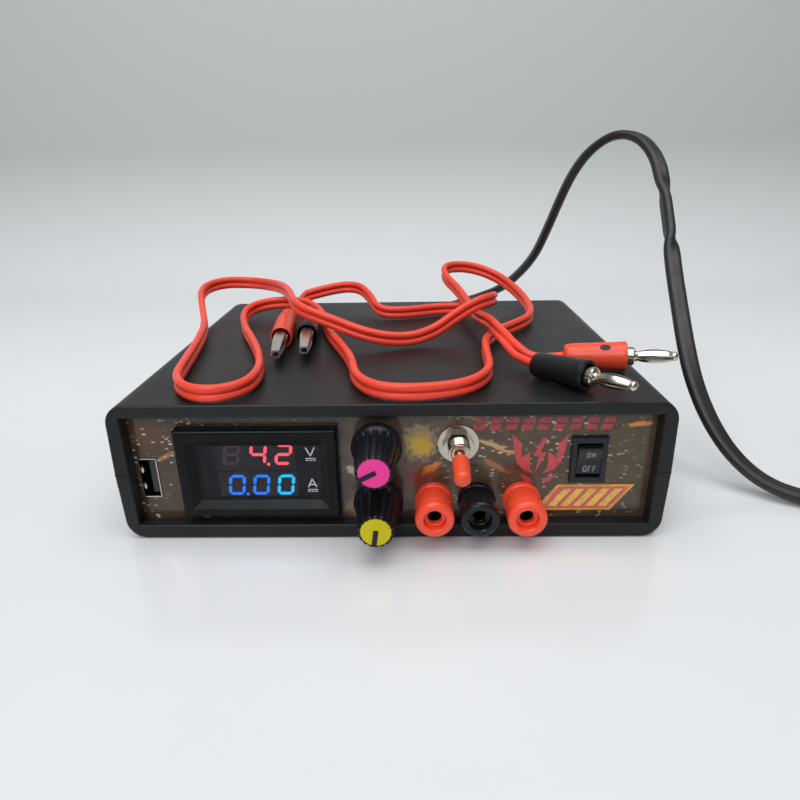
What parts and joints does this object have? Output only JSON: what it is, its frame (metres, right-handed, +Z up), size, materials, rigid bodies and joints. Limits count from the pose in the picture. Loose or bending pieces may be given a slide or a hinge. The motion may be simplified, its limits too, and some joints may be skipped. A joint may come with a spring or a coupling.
{
  "type": "adjustable bench battery charger",
  "caption": "Compact mains battery charger: two-shell case, volt and ammeter, two knobs, toggle, rocker, USB socket, binding posts, twin test lead and mains cord.",
  "frame": {"origin": "centre of the underside of the case, on the surface it stands on", "axes": "+X to the right along the front panel, -Y towards the user (out of the front panel), +Z up"},
  "size_m": [0.3313, 0.2123, 0.119],
  "materials": {
    "case_plastic": "fine moulded texture, satin",
    "panel_plastic": "satin",
    "panel_decal": "printed glossy film on a flat plastic panel",
    "zinc_steel": "zinc plated",
    "gloss_black": "polished black plastic",
    "meter_window": "smoked acrylic",
    "circuit_board": "green solder mask",
    "nickel": "bright nickel plate",
    "socket_black": "moulded",
    "brass_shaft": "turned",
    "brass_insert": "turned",
    "knob_black": "matte, fluted",
    "cap_pink": "satin",
    "cap_yellow": "satin",
    "red_rubber": "soft, satin",
    "rocker_black": "satin",
    "post_red": "satin",
    "post_black": "satin",
    "cord_black": "flexible vinyl, satin",
    "ferrite": "ferrite core with yellow tape",
    "capacitor_sleeve": "shrink sleeve",
    "heatsink": "extruded",
    "lead_red": "flexible vinyl, gloss",
    "sleeve_black": "soft vinyl",
    "boot_red": "soft vinyl",
    "clip_steel": "nickel plated sheet"
  },
  "bodies": {
    "root": {"black_clip_boot": "sleeve_black", "black_plug_sleeve": "sleeve_black", "black_post_collar": "post_black", "bottom_tray": "case_plastic", "capacitors": "capacitor_sleeve", "case_screws": "zinc_steel", "clip_lower_jaws": "clip_steel", "clip_pins": "clip_steel", "clip_springs": "clip_steel", "clip_tails": "lead_red", "converter_board": "circuit_board", "cord_gland": "cord_black", "front_panel": "panel_decal", "heatsinks": "heatsink", "mains_coil": "cord_black", "mains_cord": "cord_black", "mains_plug_body": "cord_black", "mains_plug_pins": "nickel", "meter_bezel": "gloss_black", "meter_board": "circuit_board", "meter_window": "meter_window", "plug_pins": "nickel", "plug_tails": "lead_red", "post_nuts": "nickel", "post_studs": "nickel", "pot_bodies": "zinc_steel", "pot_nuts": "nickel", "rear_panel": "panel_plastic", "red_clip_boot": "boot_red", "red_plug_sleeve": "boot_red", "red_post_collars": "post_red", "rocker_housing": "rocker_black", "supply_board": "circuit_board", "test_lead": "lead_red", "toggle_body": "nickel", "toggle_nut": "nickel", "toggle_washer": "nickel", "top_cover": "case_plastic", "transformer": "ferrite", "usb_board": "circuit_board", "usb_shell": "nickel", "usb_tongue": "socket_black"},
    "volts_knob_set": {"volts_shaft": "brass_shaft", "volts_knob": "knob_black", "volts_knob_cap": "cap_pink"},
    "amps_knob_set": {"amps_shaft": "brass_shaft", "amps_knob": "knob_black", "amps_knob_cap": "cap_yellow"},
    "toggle_arm": {"toggle_lever": "nickel", "toggle_sleeve": "red_rubber"},
    "rocker": {"rocker_paddle": "rocker_black"},
    "left_insert": {"left_post_insert": "brass_insert"},
    "left_cap": {"left_post_cap": "post_red"},
    "centre_insert": {"centre_post_insert": "brass_insert"},
    "centre_cap": {"centre_post_cap": "post_black"},
    "right_insert": {"right_post_insert": "brass_insert"},
    "right_cap": {"right_post_cap": "post_red"},
    "red_jaw": {"red_clip_upper_jaw": "clip_steel"},
    "black_jaw": {"black_clip_upper_jaw": "clip_steel"}
  },
  "joints": [
    {"name": "volts_turn", "type": "hinge", "parent": "root", "child": "volts_knob_set", "pos_m": [-0.0037, -0.07, 0.0306], "axis": [0, 1, 0], "range_deg": [-32, 268]},
    {"name": "amps_turn", "type": "hinge", "parent": "root", "child": "amps_knob_set", "pos_m": [-0.0037, -0.07, 0.0123], "axis": [0, 1, 0], "range_deg": [0, 300]},
    {"name": "toggle_flip", "type": "hinge", "parent": "root", "child": "toggle_arm", "pos_m": [0.02, -0.0635, 0.0296], "axis": [-1, 0, 0], "range_deg": [0, 22]},
    {"name": "rocker_flip", "type": "hinge", "parent": "root", "child": "rocker", "pos_m": [0.0583, -0.0592, 0.0242], "axis": [-1, 0, 0], "range_deg": [0, 20]},
    {"name": "left_post_travel", "type": "slide", "parent": "root", "child": "left_insert", "axis": [0, -1, 0], "range_m": [0, 0.003]},
    {"name": "left_post_turn", "type": "hinge", "parent": "left_insert", "child": "left_cap", "pos_m": [0.0128, -0.066, 0.0109], "axis": [0, -1, 0], "range_deg": [0, 1440]},
    {"name": "centre_post_travel", "type": "slide", "parent": "root", "child": "centre_insert", "axis": [0, -1, 0], "range_m": [0, 0.003]},
    {"name": "centre_post_turn", "type": "hinge", "parent": "centre_insert", "child": "centre_cap", "pos_m": [0.0258, -0.066, 0.0109], "axis": [0, -1, 0], "range_deg": [0, 1440]},
    {"name": "right_post_travel", "type": "slide", "parent": "root", "child": "right_insert", "axis": [0, -1, 0], "range_m": [0, 0.003]},
    {"name": "right_post_turn", "type": "hinge", "parent": "right_insert", "child": "right_cap", "pos_m": [0.0394, -0.066, 0.0109], "axis": [0, -1, 0], "range_deg": [0, 1440]},
    {"name": "red_jaw_open", "type": "hinge", "parent": "root", "child": "red_jaw", "pos_m": [-0.04043, -0.00993, 0.0486], "axis": [-0.9946, -0.1037, 0], "range_deg": [0, 13], "stiffness_Nm_per_rad": 0.05, "springref_deg": -11.46},
    {"name": "black_jaw_open", "type": "hinge", "parent": "root", "child": "black_jaw", "pos_m": [-0.03173, -0.00583, 0.0486], "axis": [-0.9946, -0.1037, 0], "range_deg": [0, 13], "stiffness_Nm_per_rad": 0.05, "springref_deg": -11.46}
  ],
  "couplings": [
    {"joint": "left_post_turn", "follows": "left_post_travel", "rad_per_m": 8377.5},
    {"joint": "centre_post_turn", "follows": "centre_post_travel", "rad_per_m": 8377.5},
    {"joint": "right_post_turn", "follows": "right_post_travel", "rad_per_m": 8377.5}
  ]
}
